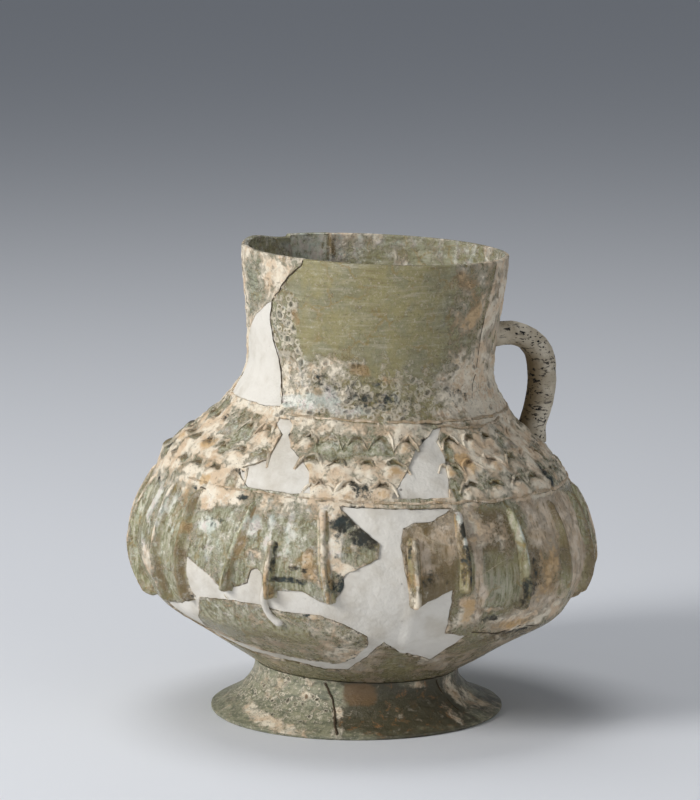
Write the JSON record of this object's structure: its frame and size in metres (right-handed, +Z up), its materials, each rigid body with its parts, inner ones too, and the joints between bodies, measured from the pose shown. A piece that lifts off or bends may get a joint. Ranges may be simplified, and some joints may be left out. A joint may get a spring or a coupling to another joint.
{
  "type": "glass jug",
  "caption": "One-handled blown glass jug with a wide neck, scaled shoulder, ribbed belly and splayed foot, broken and mended with plaster.",
  "frame": {"origin": "on the surface the foot stands on, below the centre of the belly's widest ring", "axes": "+Z up; the broken and mended front faces -Y; the vessel leans 2.5 degrees towards +X, and the handle is on that side, 12 degrees behind +X"},
  "size_m": [0.1539, 0.1535, 0.1517],
  "materials": {
    "weathered_glass": "translucent grey-olive glass with cream crust and faint iridescence",
    "crusted_glass": "applied trails, mostly hidden by cream and tan weathering",
    "dark_glass": "dark grey-green pitted glass with cream and pink patches",
    "pitted_glass": "opaque grey-beige weathered rod with small dark pits",
    "plaster": "matt off-white plaster with a few dark specks"
  },
  "bodies": {
    "root": {"glass_body": "weathered_glass", "lower_sherd": "weathered_glass", "foot": "dark_glass", "handle": "pitted_glass", "neck_thread": "crusted_glass", "shoulder_thread": "crusted_glass", "plaster_neck": "plaster", "plaster_shoulder_left": "plaster", "plaster_shoulder_right": "plaster", "plaster_belly": "plaster", "scale_row_1_01": "crusted_glass", "scale_row_1_02": "crusted_glass", "scale_row_2_03": "crusted_glass", "scale_row_2_04": "crusted_glass", "scale_row_2_05": "crusted_glass", "scale_row_3_06": "crusted_glass", "scale_row_3_07": "crusted_glass", "scale_row_3_08": "crusted_glass", "rib_01": "crusted_glass", "rib_02": "crusted_glass", "rib_03": "crusted_glass", "rib_04": "crusted_glass", "rib_05": "crusted_glass", "rib_06": "crusted_glass", "rib_07": "crusted_glass", "rib_08": "crusted_glass", "rib_09": "crusted_glass", "rib_10": "crusted_glass", "rib_11": "crusted_glass", "rib_12": "crusted_glass", "rib_13": "crusted_glass", "rib_14": "crusted_glass", "rib_15": "crusted_glass", "rib_16": "crusted_glass", "rib_17": "crusted_glass", "rib_18": "crusted_glass", "rib_19": "crusted_glass", "rib_20": "crusted_glass", "rib_21": "crusted_glass", "rib_22": "crusted_glass", "rib_23": "crusted_glass", "rib_24": "crusted_glass", "rib_25": "crusted_glass", "rib_26": "crusted_glass"}
  },
  "joints": []
}
